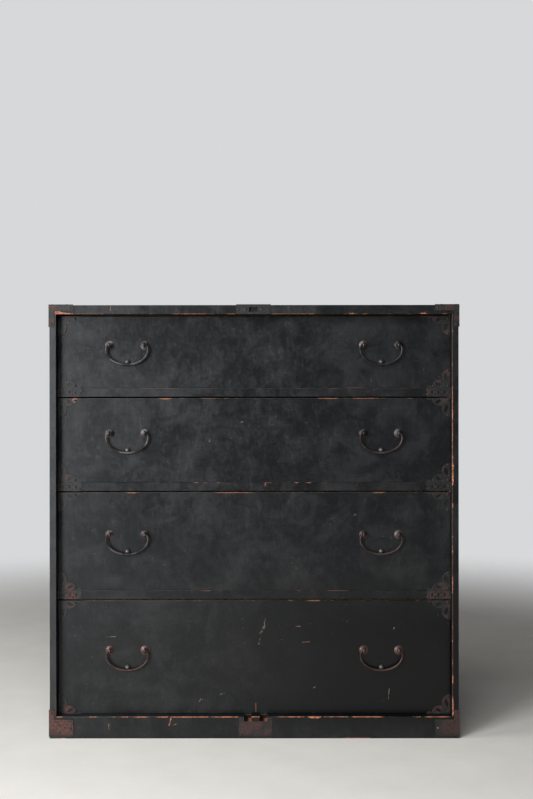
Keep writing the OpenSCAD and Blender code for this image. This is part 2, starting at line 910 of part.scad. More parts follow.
// ---------- what is drawn ----------
side_board(-1);  // side_board_left
side_board(1);  // side_board_right
top_board();
bottom_board();
front_sill();
rear_sill();
back_boards();
top_corner_irons();
bottom_corner_irons();
top_lock_plate();
bottom_lock_plate();
rail_end_plates();
case_nails();
for (i = rails) {
    rail(i);
    dust_board(i);
}
for (i = drawers) {
    name = str("drawer_", i + 1);
    drawer_front(i);
    drawer_side(i, -1);
    drawer_side(i, 1);
    drawer_back(i);
    drawer_bottom(i);
    drawer_corner_plates(i);
    handle_posts(i);
    drawer_nails(i);
    drawer_bail(i, -1);
    drawer_bail(i, 1);
}
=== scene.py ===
"""Dresses the four-drawer chest: worn black lacquer, bare wood, rusty sheet iron and forged bails."""

import json
import math
from functools import reduce

import bmesh
import bpy
from bpy.props import FloatProperty, FloatVectorProperty, IntProperty, PointerProperty
from bpy.types import Operator, Panel, PropertyGroup
from mathutils import Euler, Matrix, Vector, noise


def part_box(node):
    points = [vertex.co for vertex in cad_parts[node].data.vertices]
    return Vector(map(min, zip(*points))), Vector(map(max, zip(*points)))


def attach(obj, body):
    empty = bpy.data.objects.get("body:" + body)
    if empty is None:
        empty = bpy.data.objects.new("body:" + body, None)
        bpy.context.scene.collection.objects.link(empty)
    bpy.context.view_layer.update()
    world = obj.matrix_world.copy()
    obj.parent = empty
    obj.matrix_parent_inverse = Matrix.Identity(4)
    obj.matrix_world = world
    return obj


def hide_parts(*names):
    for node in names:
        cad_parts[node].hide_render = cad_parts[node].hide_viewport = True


bl_info = {
    "name": "Lacquered drawer chest",
    "version": (1, 0, 0),
    "blender": (4, 5, 0),
    "location": "3D View > Sidebar > Chest",
    "description": "Finishes the boards, irons and handles of a chest with four drawers",
    "category": "Add Mesh",
}

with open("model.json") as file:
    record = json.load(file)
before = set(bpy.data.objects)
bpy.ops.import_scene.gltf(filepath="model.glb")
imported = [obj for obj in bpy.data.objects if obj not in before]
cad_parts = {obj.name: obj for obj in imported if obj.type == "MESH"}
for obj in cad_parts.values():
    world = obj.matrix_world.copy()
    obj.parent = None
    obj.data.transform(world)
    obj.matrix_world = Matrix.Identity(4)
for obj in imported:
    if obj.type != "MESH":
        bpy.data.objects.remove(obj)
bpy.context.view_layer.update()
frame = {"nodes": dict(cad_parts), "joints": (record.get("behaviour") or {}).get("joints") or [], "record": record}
NODES = frame["nodes"]
BODY_OF = {node: body for body, nodes in frame["record"]["behaviour"]["bodies"].items() for node in nodes}
MM = 0.001

# ---------- places, taken from the frame ----------
DRAWERS = (1, 2, 3, 4)
SIDES = ("left", "right")
FRONT_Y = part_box("side_board_left")[0].y
INNER_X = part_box("rear_sill")[1].x
FACE_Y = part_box("rail_1")[0].y
UNDER_TOP_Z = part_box("top_board")[0].z
SILL_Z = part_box("front_sill")[1].z
MORTISES = [box["box_m"] for box in frame["record"]["physics"]["openings"] if "mortise" in box["name"]]
HINGES = {joint["child"]: Vector(joint["pos_m"]) for joint in frame["joints"] if joint["type"] == "hinge"}


# ---------- sizes and colours that a user may change ----------
COLOUR = {"subtype": "COLOR", "size": 3, "min": 0, "max": 1}


class LacquerSettings(PropertyGroup):
    black: FloatVectorProperty(
        name="Black", description="Colour of the lacquer where it is whole",
        default=(0.0052, 0.0055, 0.0062), **COLOUR)
    brown: FloatVectorProperty(
        name="Faded", description="Colour of the lacquer where it has thinned",
        default=(0.0115, 0.0115, 0.0120), **COLOUR)
    brushed: FloatVectorProperty(
        name="Brushed", description="Colour of the fine marks that cleaning has left",
        default=(0.030, 0.0303, 0.0315), **COLOUR)
    under: FloatVectorProperty(
        name="Undercoat", description="Colour of the undercoat round a chip",
        default=(0.085, 0.042, 0.026), **COLOUR)
    chipped: FloatVectorProperty(
        name="Chipped wood", description="Colour of the wood where the lacquer has come off",
        default=(0.44, 0.155, 0.078), **COLOUR)
    scratched: FloatVectorProperty(
        name="Scratches", description="Colour inside a scratch",
        default=(0.100, 0.088, 0.066), **COLOUR)
    speck: FloatVectorProperty(
        name="Specks", description="Colour of the small pits and spots all over the lacquer",
        default=(0.075, 0.062, 0.048), **COLOUR)
    gloss_roughness: FloatProperty(
        name="Roughness", description="Roughness of whole lacquer", min=0.1, max=1, default=0.32)
    ease: FloatProperty(
        name="Eased edges", description="Rounding of the long edges", unit="LENGTH", min=0, max=0.003,
        default=0.0009)


class WoodSettings(PropertyGroup):
    pale: FloatVectorProperty(
        name="Pale", description="Colour of the wood between the grain lines",
        default=(0.42, 0.28, 0.165), **COLOUR)
    dark: FloatVectorProperty(
        name="Dark", description="Colour of the grain lines",
        default=(0.23, 0.135, 0.07), **COLOUR)
    nail_spacing: FloatProperty(
        name="Nail spacing", description="Distance between the nails of a drawer's joints",
        unit="LENGTH", min=0.02, max=0.1, default=0.042)
    nail_radius: FloatProperty(
        name="Nail radius", description="Radius of the heads of those nails",
        unit="LENGTH", min=0.0005, max=0.004, default=0.0017)
    nail_seed: IntProperty(name="Seed", description="Seed of the nails' turns and sizes", default=4)


class IronSettings(PropertyGroup):
    skin: FloatVectorProperty(
        name="Skin", description="Colour of blackened iron",
        default=(0.012, 0.0115, 0.0115), **COLOUR)
    thin: FloatVectorProperty(
        name="Thin lacquer", description="Colour of iron that shows through its lacquer",
        default=(0.0225, 0.0195, 0.0187), **COLOUR)
    rust: FloatVectorProperty(
        name="Rust", description="Colour of rust",
        default=(0.100, 0.042, 0.032), **COLOUR)
    rubbed: FloatVectorProperty(
        name="Rubbed", description="Colour of iron that hands have rubbed",
        default=(0.082, 0.074, 0.070), **COLOUR)
    polished: FloatVectorProperty(
        name="Polished", description="Colour of the studs that the bails knock against",
        default=(0.095, 0.089, 0.084), **COLOUR)
    ease: FloatProperty(
        name="Eased edges", description="Rounding of the plates' edges", unit="LENGTH", min=0, max=0.001,
        default=0.0006)


class BailSettings(PropertyGroup):
    half_width: FloatProperty(
        name="Half width", description="Half the widest distance between a bail's arms",
        unit="LENGTH", min=0.03, max=0.06, default=0.0455)
    drop: FloatProperty(
        name="Drop", description="Drop of the bail's middle below its hinge line",
        unit="LENGTH", min=0.03, max=0.05, default=0.0423)
    waist: FloatProperty(
        name="Waist", description="Depth of the widest place below the hinge line",
        unit="LENGTH", min=0.005, max=0.015, default=0.010)
    middle_radius: FloatProperty(
        name="Middle radius", description="Radius of the bar in the middle",
        unit="LENGTH", min=0.002, max=0.004, default=0.0028)
    elbow_radius: FloatProperty(
        name="Elbow radius", description="Radius of the bar at its elbows",
        unit="LENGTH", min=0.0018, max=0.003, default=0.0023)
    pin_radius: FloatProperty(
        name="Pin radius", description="Radius of the pins in the eyes",
        unit="LENGTH", min=0.0015, max=0.0021, default=0.00195)
    hammering: FloatProperty(
        name="Hammering", description="Depth of the hammer marks",
        unit="LENGTH", min=0, max=0.0005, default=0.00022)


class StageSettings(PropertyGroup):
    eye: FloatVectorProperty(
        name="Camera", description="Place of the camera", subtype="XYZ", unit="LENGTH", size=3,
        default=(0.0294, -2.7151, 0.7314))
    focal_length: FloatProperty(
        name="Focal length", description="Focal length in millimetres", min=20, max=200, default=52.43)
    turn: FloatVectorProperty(
        name="Turn", description="Pitch, roll and yaw of the camera from looking straight along +Y",
        subtype="EULER", size=3, default=(math.radians(-0.058), math.radians(-0.05), math.radians(0.058)))
    floor: FloatVectorProperty(
        name="Floor colour", description="Colour of the floor",
        default=(0.75, 0.705, 0.645), **COLOUR)
    backdrop: FloatVectorProperty(
        name="Background", description="Colour of the background",
        default=(0.68, 0.685, 0.695), **COLOUR)
    floor_reach: FloatProperty(
        name="Floor", description="Distance at which the floor starts to fade", unit="LENGTH", default=1.3)
    key_power: FloatProperty(name="Key", description="Power of the tall light in watts", default=122)
    side_power: FloatProperty(name="Side", description="Power of the left light in watts", default=62)
    top_power: FloatProperty(name="Top", description="Power of the light from above in watts", default=44)
    fill: FloatProperty(name="Fill", description="Strength of the even light all round", default=0.105)


SETTINGS = (
    ("chest_lacquer", LacquerSettings), ("chest_wood", WoodSettings), ("chest_iron", IronSettings),
    ("chest_bail", BailSettings), ("chest_stage", StageSettings))


# ---------- shader maths ----------
class Num:
    """A number on its way through a material. Arithmetic on it adds the Math nodes that do the sum."""

    def __init__(self, recipe, socket):
        self.recipe = recipe
        self.socket = socket

    def __add__(self, other):
        return self.recipe.math("ADD", self, other)

    def __radd__(self, other):
        return self.recipe.math("ADD", other, self)

    def __sub__(self, other):
        return self.recipe.math("SUBTRACT", self, other)

    def __rsub__(self, other):
        return self.recipe.math("SUBTRACT", other, self)

    def __mul__(self, other):
        return self.recipe.math("MULTIPLY", self, other)

    def __rmul__(self, other):
        return self.recipe.math("MULTIPLY", other, self)

    def __truediv__(self, other):
        return self.recipe.math("DIVIDE", self, other)

    def __gt__(self, other):
        return self.recipe.math("GREATER_THAN", self, other)

    def __lt__(self, other):
        return self.recipe.math("LESS_THAN", self, other)

    def __pow__(self, other):
        return self.recipe.math("POWER", self, other)

    def __abs__(self):
        return self.recipe.math("ABSOLUTE", self)

    def or_more(self, other):
        return self.recipe.math("MAXIMUM", self, other)

    def or_less(self, other):
        return self.recipe.math("MINIMUM", self, other)

    def rise(self, low, high):
        """0 below low, 1 above high, smooth between; turned round if high is the lower."""
        node = self.recipe.node(
            "ShaderNodeMapRange", {"interpolation_type": "SMOOTHSTEP"},
            {"Value": self, "From Min": low, "From Max": high})
        return Num(self.recipe, node.outputs["Result"])


class NodeBench:
    """A tree of nodes under construction."""

    def __init__(self, tree):
        self.tree = tree
        self.tree.nodes.clear()

    def node(self, kind, settings=None, inputs=None):
        """Adds a node of that type, sets its settings, then its inputs to values or links."""
        node = self.tree.nodes.new(kind)
        for setting, value in (settings or {}).items():
            setattr(node, setting, value)
        for key, value in (inputs or {}).items():
            if isinstance(value, Num):
                value = value.socket
            if isinstance(value, bpy.types.NodeSocket):
                self.tree.links.new(value, node.inputs[key])
            else:
                node.inputs[key].default_value = value
        return node


class Recipe(NodeBench):
    """A material under construction, with one shader and the object's own coordinates."""

    def __init__(self, name):
        self.material = bpy.data.materials.new(name)
        self.material.use_nodes = True
        super().__init__(self.material.node_tree)
        self.place = self.node("ShaderNodeTexCoord").outputs["Object"]
        split = self.node("ShaderNodeSeparateXYZ", {}, {"Vector": self.place})
        self.x, self.y, self.z = (Num(self, split.outputs[axis]) for axis in "XYZ")

    def math(self, operation, first, second=0.0):
        node = self.node("ShaderNodeMath", {"operation": operation}, {0: first, 1: second})
        return Num(self, node.outputs[0])

    def distance(self, across, along):
        """How far a place is from the middle of a pattern, from its distances both ways."""
        return self.math("SQRT", across * across + along * along)

    def cloud(self, scale, detail, roughness, seed=0.0, swirl=0.0):
        """Noise from 0 to 1; scale is one number or one for each axis, in cycles a metre."""
        if isinstance(scale, (int, float)):
            scale = (scale, scale, scale)
        moved = self.node("ShaderNodeVectorMath", {"operation": "MULTIPLY_ADD"},
                          {0: self.place, 1: scale, 2: (seed, seed * 1.7, seed * 2.3)})
        node = self.node("ShaderNodeTexNoise", {},
                         {"Vector": moved.outputs[0], "Scale": 1.0, "Detail": detail,
                          "Roughness": roughness, "Distortion": swirl})
        return Num(self, node.outputs["Fac"])

    def cells(self, scale, seed):
        """Distance to the nearest of scattered points, scale points a metre."""
        moved = self.node("ShaderNodeVectorMath", {"operation": "MULTIPLY_ADD"},
                          {0: self.place, 1: (scale,) * 3, 2: (seed, seed, seed)})
        node = self.node("ShaderNodeTexVoronoi", {}, {"Vector": moved.outputs[0], "Scale": 1.0})
        return Num(self, node.outputs["Distance"])

    def mix(self, amount, first, second):
        """A colour between two: the first at 0, the second at 1."""
        first, second = ((*colour, 1) if hasattr(colour, "__len__") else colour for colour in (first, second))
        node = self.node("ShaderNodeMix", {"data_type": "RGBA"}, {0: amount, 6: first, 7: second})
        return node.outputs[2]

    def finish(self, colour, roughness, height, height_scale, metallic=None, **constants):
        """Joins colour, roughness and relief to the shader and gives the material back."""
        bump = self.node("ShaderNodeBump", {}, {"Strength": 1.0, "Distance": height_scale, "Height": height})
        inputs = {"Base Color": colour, "Roughness": roughness, "Normal": bump.outputs["Normal"]}
        if metallic is not None:
            inputs["Metallic"] = metallic
        inputs.update({key.replace("_", " "): value for key, value in constants.items()})
        shader = self.node("ShaderNodeBsdfPrincipled", {}, inputs)
        self.node("ShaderNodeOutputMaterial", {}, {"Surface": shader.outputs[0]})
        return self.material


# ---------- finishes ----------
def along(axis, fine, coarse):
    """Scales for a pattern drawn out along one axis."""
    return tuple(coarse if name == axis else fine for name in "xyz")


def wood_grain(recipe, axis, seed):
    """Colour and height of bare wood whose grain runs along an axis."""
    wood = bpy.context.scene.chest_wood
    broad = recipe.cloud(along(axis, 28, 1.4), 4, 0.6, seed)
    fine = recipe.cloud(along(axis, 420, 7), 3, 0.6, seed + 3)
    blotch = recipe.cloud(5, 3, 0.5, seed + 7)
    rings = (recipe.math("SINE", broad * 46) * 0.5 + 0.5) ** 2.2
    tone = rings * 0.42 + fine * 0.34 + blotch * 0.3
    colour = recipe.mix(tone.rise(0.22, 0.86), wood.pale, wood.dark)
    return colour, fine * 0.6 + rings * 0.4


def bare_wood(name, axis, seed, dirt):
    """Unfinished wood, darkened by handling and dust in soft patches."""
    recipe = Recipe(name)
    colour, height = wood_grain(recipe, axis, seed)
    grime = recipe.cloud(9, 4, 0.6, seed + 11).rise(0.45, 0.75) * dirt
    colour = recipe.mix(grime, colour, (0.09, 0.06, 0.04))
    return recipe.finish(colour, 0.78 - height * 0.12, height, 0.00025)


def edge_distances(recipe, lo, hi):
    """Distance from each of the four long edges of a board's front face."""
    depth = abs(recipe.y - lo.y)
    across = {"left": recipe.x - lo.x, "right": recipe.x - hi.x, "bottom": recipe.z - lo.z,
              "top": recipe.z - hi.z}
    return {edge: abs(away).or_more(depth) for edge, away in across.items()}


def stretch_of(recipe, edge, start, end, taper=0.0):
    """1 along part of an edge and 0 away from it, in millimetres from the chest's middle or the floor.

    A taper thins it evenly towards its end, down to nothing at 1.
    """
    run = recipe.z if edge in ("left", "right") else recipe.x
    start, end, soft = start * MM, end * MM, 6 * MM
    whole = run.rise(start - soft, start + soft) * run.rise(end + soft, end - soft)
    if taper == 0:
        return whole
    slope = ((run - end) / (start - end)).or_more(0.0).or_less(1.0)
    return whole * (slope * taper + (1 - taper))


def worn_lacquer(node, axis, bare, edges, chips, nicks, scratches, seed, fresh=1.0, paint=None):
    """Black lacquer over a board's wood, which shows where bare is 1 and has its grain along the axis.

    Edges gives each edge's steady wear, and chips its worst stretches. Nicks show the wood and
    scratches only score the lacquer: each has its middle x and z, its length and its width in
    millimetres, and its tilt from the vertical. Fresh is how bright the worn edges are, and paint
    may change the colour in the end.
    """
    look = bpy.context.scene.chest_lacquer
    recipe = Recipe("lacquer_" + node)
    haze = recipe.cloud(2.6, 4, 0.55, seed)
    patch = recipe.cloud(13, 5, 0.66, seed + 2, 0.8)
    mottle = recipe.cloud((75, 75, 60), 5, 0.70, seed + 15, 0.9)
    streak = recipe.cloud(along("x", 250, 44), 5, 0.72, seed + 5, 0.7)
    smear = recipe.cloud(along("z", 220, 40), 5, 0.72, seed + 9, 0.7)
    dust = recipe.cloud(900, 2, 0.5, seed + 13)
    chew = recipe.cloud(46, 4, 0.65, seed + 17)
    bite = recipe.cloud(260, 3, 0.6, seed + 21)

    # The lacquer is cloudiest towards the top left. On the bottom drawer's right it is painted blackest, least
    # faded and least marked: painted shade.
    cloudy = recipe.x.rise(0.32, 0.0) * recipe.z.rise(0.30, 0.66) * 0.65 + 0.35
    whole = recipe.x.rise(-0.15, 0.25) * recipe.z.rise(0.36, 0.22) * recipe.z.rise(0.0, 0.056)
    faded = (haze * 0.4 + patch * 0.6).rise(0.42, 0.62) * (1 - whole * 0.9)
    colour = recipe.mix(faded, look.black, look.brown)
    marks = smear.rise(0.48, 0.72) * 0.55 + streak.rise(0.50, 0.74) * 0.45
    marks = (marks * (faded * 0.7 + 0.3) + mottle.rise(0.48, 0.72) * 0.35) * (cloudy * 0.7 + 0.3)
    colour = recipe.mix(marks * (1 - whole * 0.4), colour, look.brushed)
    # Painted shade: the bottom drawer's right is darkened towards black
    colour = recipe.mix(whole * 0.85, colour, Vector(look.black) * 0.2)
    colour = recipe.mix(mottle.rise(0.48, 0.30) * cloudy * 0.6, colour, look.black)
    colour = recipe.mix(dust.rise(0.64, 0.82) * 0.35, colour, (0.10, 0.095, 0.088))
    specks = recipe.cells(52, seed + 33).rise(0.085, 0.03) * patch.rise(0.44, 0.54)
    colour = recipe.mix(specks * (chew * 1.4), colour, look.speck)

    dashes = recipe.cloud(95, 3, 0.6, seed + 25).rise(0.50, 0.62) * chew.rise(0.44, 0.56)
    distances = edge_distances(recipe, *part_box(node))
    margins = [scratch_margin(recipe, bite, *nick) for nick in nicks]
    for edge, width in edges.items():
        reach = dashes * (bite * 1.3 + 0.2) * (width * MM)
        for start, end, chip_width, *taper in chips.get(edge, ()):
            stretch = stretch_of(recipe, edge, start, end, *taper)
            reach = reach.or_more(stretch * (chew * 0.9 + bite * 0.5) * (chip_width * MM))
        margins.append((reach - distances[edge] - 0.2 * MM).or_less(reach * 1.6 - 1.4 * MM))
    worn = reduce(Num.or_more, margins)
    relief = streak * 0.2 + smear * 0.25 + mottle * 0.35 + patch * 0.5 + dust * 0.1
    roughness = look.gloss_roughness + faded * 0.08 + (patch + mottle + smear - 1.5) * cloudy * 0.19
    for scratch in scratches:
        scored = scratch_margin(recipe, bite, *scratch).rise(-0.4 * MM, 0.4 * MM)
        colour = recipe.mix(scored, colour, look.scratched)
        roughness = roughness + scored * 0.2
    chipped = worn.rise(-0.2 * MM, 0.3 * MM)
    colour = recipe.mix(worn.rise(-1.4 * MM, -0.1 * MM), colour, look.under)
    under = Vector(look.under)
    bright = under.lerp(Vector(look.chipped), fresh)
    fresher = (bite * 0.5 + mottle * 0.5).rise(0.40, 0.60)
    colour = recipe.mix(chipped, colour, recipe.mix(fresher, bright * 0.22 + under * 0.3, bright))
    inner = bare(recipe)
    wood, wood_height = wood_grain(recipe, axis, seed + 31)
    colour = recipe.mix(inner, colour, wood)
    roughness = roughness + chipped * 0.3 + inner * 0.3
    relief = relief - chipped * 0.8 + inner * wood_height * 0.5
    if paint is not None:
        colour = paint(recipe, colour)
    return recipe.finish(colour, roughness.or_more(0.28), relief, 0.0003, Specular_IOR_Level=0.27)


def scratch_margin(recipe, bite, x, z, length, width, tilt):
    """Above 0 inside a thin broken line: its middle, length and width in millimetres, and its tilt."""
    x, z, length, width = (value * MM for value in (x, z, length, width))
    cos, sin = math.cos(tilt), math.sin(tilt)
    run = abs((recipe.x - x) * sin + (recipe.z - z) * cos)
    off = abs((recipe.x - x) * cos - (recipe.z - z) * sin)
    broken = recipe.cloud(160, 2, 0.5, x * 40).rise(0.42, 0.60)
    return (bite * width * broken - off).or_less(length / 2 - run)


def plate_iron(name, rust, seed, spots):
    """Thin hammered sheet iron under old lacquer, rusted through in patches and round the given spots.

    Each spot has its x, its z and its radius in millimetres, and may say how raw and pale its middle is.
    """
    look = bpy.context.scene.chest_iron
    recipe = Recipe(name)
    patch = recipe.cloud(70, 5, 0.66, seed, 0.5)
    mottle = recipe.cloud(240, 4, 0.65, seed + 5, 0.5)
    grain = recipe.cloud(620, 3, 0.6, seed + 3)
    dimple = recipe.cells(165, seed)
    rightward = recipe.x.rise(-0.2, 0.5) * 0.04
    lean = (0.30 - recipe.z * 0.30) * 0.2
    wear = patch * 0.55 + mottle * 0.45 + rightward + lean + (rust - 0.5) * 0.24
    raw = 0.0
    for x, z, radius, *rawness in spots:
        away = recipe.distance(recipe.x - x * MM, recipe.z - z * MM) + (patch + mottle - 1.0) * 0.03
        near = away.rise(radius * MM, radius * MM * 0.2)
        wear = wear + near * 0.20
        if rawness:
            raw = raw + near * rawness[0]
    rusted = wear.rise(0.56, 0.72) * recipe.z.rise(0.006, 0.012)
    skin = recipe.mix((patch * 0.5 + mottle * 0.5).rise(0.38, 0.66), look.skin, look.thin)
    skin = recipe.mix(mottle.rise(0.60, 0.76) * 0.4, skin, (0.060, 0.050, 0.046))
    old = (0.020, 0.012, 0.011)
    ruddy = recipe.mix((mottle * 0.6 + grain * 0.4).rise(0.42, 0.60), look.rust, old)
    # Painted shade: the rust is darkened towards the right, away from the light
    ruddy = recipe.mix(recipe.x.rise(-0.34, 0.10) * 0.68, ruddy, old)
    if spots:
        ruddy = recipe.mix(raw, ruddy, (0.36, 0.15, 0.10))
    colour = recipe.mix(rusted, skin, ruddy)
    height = dimple * 0.35 + grain * 0.35 + mottle * 0.3 + rusted * 0.4
    return recipe.finish(colour, 0.40 + rusted * 0.3 + grain * 0.16, height, 0.00026,
                         metallic=0.16 - rusted * 0.12, Specular_IOR_Level=0.30)


def rubbed_iron():
    """The edges of the sheet irons, where lacquer never stays."""
    look = bpy.context.scene.chest_iron
    recipe = Recipe("sheet_iron_edges")
    patch = recipe.cloud(60, 4, 0.6, 3.0)
    dull_rust = Vector(look.rust) * 0.6
    colour = recipe.mix(patch.rise(0.45, 0.68) * recipe.x.rise(-0.5, 0.5), look.skin, dull_rust)
    return recipe.finish(colour, 0.52 + patch * 0.2, patch, 0.0001, metallic=0.1)


def forged_iron(name, seed, bright, ruddy=0.0, metal=0.75, rough=0.36, polished=None):
    """Forged bar iron, dark in the hollows, rubbed and ruddy, and polished where that function is 1."""
    look = bpy.context.scene.chest_iron
    recipe = Recipe(name)
    patch = recipe.cloud(34, 3, 0.5, seed)
    grain = recipe.cloud(650, 3, 0.6, seed + 2)
    dent = recipe.cells(260, seed)
    colour = recipe.mix(patch.rise(0.38, 0.62) * bright, look.skin, look.rubbed)
    colour = recipe.mix((grain + ruddy * 0.2).rise(0.50, 0.74) * (0.35 + patch * 0.5), colour, look.rust)
    height = dent * 0.4 + grain * 0.35
    roughness = rough + grain * 0.22
    if polished is not None:
        handled = polished(recipe)
        colour = recipe.mix(handled * (0.55 + patch * 0.6), colour, look.polished)
        roughness = roughness - handled * 0.30
    return recipe.finish(colour, roughness, height, 0.00016, metallic=metal)


# ---------- shapes ----------
# An edge stays sharp if its faces turn by less than this, or if it is short and in a wooden piece
FLAT_TURN = math.radians(50)
SHORT_EDGE = 6 * MM


def new_piece(name, mesh):
    """Links a mesh as a new object at the origin."""
    piece = bpy.data.objects.new(name, mesh)
    bpy.context.scene.collection.objects.link(piece)
    return piece


def plain_copy(piece, name):
    """The piece with its modifiers applied, as a plain mesh; the piece itself is removed."""
    evaluated = piece.evaluated_get(bpy.context.evaluated_depsgraph_get())
    mesh = bpy.data.meshes.new_from_object(evaluated)
    old = piece.data
    bpy.data.objects.remove(piece)
    bpy.data.meshes.remove(old)
    mesh.name = name
    return new_piece(name, mesh)


def eased_copy(node, name, ease, shortest):
    """A CAD node's shape with merged corners; its edges over the shortest are rounded where ease isn't 0."""
    shape = bmesh.new()
    shape.from_mesh(NODES[node].data)
    bmesh.ops.remove_doubles(shape, verts=shape.verts, dist=2e-6)
    bmesh.ops.dissolve_limit(shape, angle_limit=math.radians(0.6), verts=shape.verts, edges=shape.edges)
    weight = shape.edges.layers.float.new("bevel_weight_edge")
    for edge in shape.edges:
        if ease > 0 and edge.is_manifold and edge.calc_length() > shortest:
            edge[weight] = float(edge.calc_face_angle(0) > FLAT_TURN)
    mesh = bpy.data.meshes.new(name)
    shape.to_mesh(mesh)
    shape.free()
    smooth_over(mesh, 32)
    if ease == 0:
        return new_piece(name, mesh)
    piece = new_piece(name + "_sharp", mesh)
    bevel = piece.modifiers.new("Eased edges", "BEVEL")
    bevel.limit_method = "WEIGHT"
    bevel.width = ease
    bevel.segments = 2
    bevel.harden_normals = True
    bevel.material = 1
    bpy.context.view_layer.update()
    return plain_copy(piece, name)


def shade(mesh, smooth):
    """Shades every face of a mesh smooth or flat."""
    for polygon in mesh.polygons:
        polygon.use_smooth = smooth


def smooth_over(mesh, degrees):
    """Shades a mesh smooth, but sharp where faces meet at more than that angle."""
    shade(mesh, True)
    mesh.set_sharp_from_angle(angle=math.radians(degrees))


def settle(piece, body, slot, material, *replaced, edge_material=None):
    """Gives a piece its materials and its body, and hides what it stands for; its slot is not used."""
    piece.data.materials.clear()
    piece.data.materials.append(material)
    piece.data.materials.append(edge_material or material)
    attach(piece, body)
    if replaced:
        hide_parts(*replaced)


def dress(node, slot, material, ease=0.0, edge_material=None):
    """Puts an eased copy in the place of a CAD node; its eased edges may have a material of their own.

    A wooden piece is shaded flat, and its short edges stay sharp.
    """
    wooden = slot in ("black_lacquer", "bare_wood")
    piece = eased_copy(node, "dressed_" + node, ease, SHORT_EDGE if wooden else 0.0)
    if wooden:
        shade(piece.data, False)
    settle(piece, BODY_OF[node], slot, material, node, edge_material=edge_material)


def bare_back(recipe):
    """A rail or a drawer's front is bare but for its face."""
    return recipe.y > FACE_Y + 5 * MM


# ---------- case ----------
# Where the lacquer ends behind the drawers' faces, how far it reaches round an inner edge, and how far
# the bare wood of a mortise reaches past its walls
INSIDE_Y = FACE_Y + 4 * MM
BARE_MARGIN = 0.6 * MM
MORTISE_MARGIN = 1.2 * MM
# Worn stretches along the edges: start, end and width in millimetres, and how much they thin out
CHIPS = {
    "side_board_left": {
        "left": [(100, 125, 1.3), (215, 235, 1.7), (340, 370, 1.1)],
        "right": [(50, 90, 1)]},
    "side_board_right": {
        "left": [(60, 915, 1), (590, 760, 1.6), (545, 592, 3.9), (496, 506, 2.4), (397, 407, 2.1),
                 (308, 350, 1.7), (116, 138, 2.2), (50, 90, 4.2, 0.4)],
        "right": [(600, 740, 1)]},
    "top_board": {
        "bottom": [(-430, -384, 10.8, 0.95), (-392, -335, 1.1), (-174, -100, 1.5), (-60, -38, 1.3),
                   (37, 131, 1.3), (205, 217, 2.6), (234, 244, 2.2), (358, 371, 3.6), (405, 415, 1.6)]},
    "front_sill": {
        "top": [(-430, -412, 1.9), (-306, -300, 2.2), (-288, -270, 2), (-256, -227, 2.7), (-210, -186, 2.8),
                (-179, -99, 2.4), (-92, -36, 2.6), (-12, 18, 2.2), (50, 108, 1.7), (117, 141, 4.8),
                (154, 202, 1.5), (211, 276, 2.1), (367, 420, 2.2)],
        "bottom": [(190, 250, 2), (-416, -406, 2.4)]},
    "rail_1": {"top": [(-246, -160, 0.7), (168, 178, 1)]},
    "rail_2": {
        "top": [(-132, -120, 1.5), (-110, -104, 1.8), (-82, -74, 1.6), (30, 36, 2), (88, 96, 2.4),
                (113, 124, 1.9)]},
    "rail_3": {"top": [(-116, -94, 1.1), (92, 100, 1.2), (158, 204, 1)]},
    "drawer_1_front": {"bottom": [(200, 240, 1)]},
    "drawer_2_front": {
        "top": [(-203, -182, 3.4), (-114, -82, 1.2), (140, 181, 1.9), (215, 262, 2), (278, 284, 1.8),
                (334, 342, 1.8)]},
    "drawer_3_front": {"top": [(-276, -256, 2.6), (-84, -6, 1.8), (258, 282, 2.2)]},
    "drawer_4_front": {"top": [(74, 84, 1.6), (115, 141, 2.2)]},
}
# Marks: middle x, middle z, length and width in millimetres, and tilt from the vertical in radians
NICKS = {
    "top_board": [(-308.5, 925, 8, 0.8, 0.1)],
    "front_sill": [(-313, 26, 12, 1.1, 0.0), (-181, 36.5, 18, 1.5, 0.25), (-171, 30, 7, 1.1, 1.2)],
    "rail_2": [(24.8, 545, 9, 3, 0.1)],
    "drawer_2_front": [(-97, 639, 4, 3.6, 0.5)],
    "drawer_4_front": [(95, 236.4, 9, 0.9, 1.55), (112, 202.5, 15, 0.7, 1.50), (303, 232, 4, 1, 0.4),
                       (130, 104, 4, 1, 1.0), (3, 60.5, 18, 1.2, 0.0)],
}
SCRATCHES = {
    "drawer_1_front": [(-30, 788, 7, 2, 0.3)],
    "drawer_2_front": [(-26, 680, 6, 2.4, 1.4)],
    "drawer_3_front": [(172, 471, 8, 1.6, 1.2), (218, 478, 7, 1.4, 0.9)],
    "drawer_4_front": [(16.6, 224.8, 58, 1.7, 0.257), (17.3, 229.2, 21, 1.4, 0.64),
                       (22.5, 238, 20, 1.4, 0.05), (318.5, 243.5, 3, 2.2, 0.9), (-312, 214, 23, 1.8, 1.52),
                       (-70.7, 89.5, 12, 2.6, 1.2), (-118, 76, 9, 1.8, 0.5), (-114, 79, 6, 1.8, -0.9),
                       (291.5, 88, 26, 1.8, 0.1), (313, 239, 4, 2.6, 0.9)],
}


def lacquer(node, ease, axis, bare, **finish):
    """Lacquers a board, with its own chips, nicks and scratches."""
    material = worn_lacquer(node, axis, bare, chips=CHIPS[node], nicks=NICKS.get(node, ()),
                            scratches=SCRATCHES.get(node, ()), **finish)
    dress(node, "black_lacquer", material, ease)


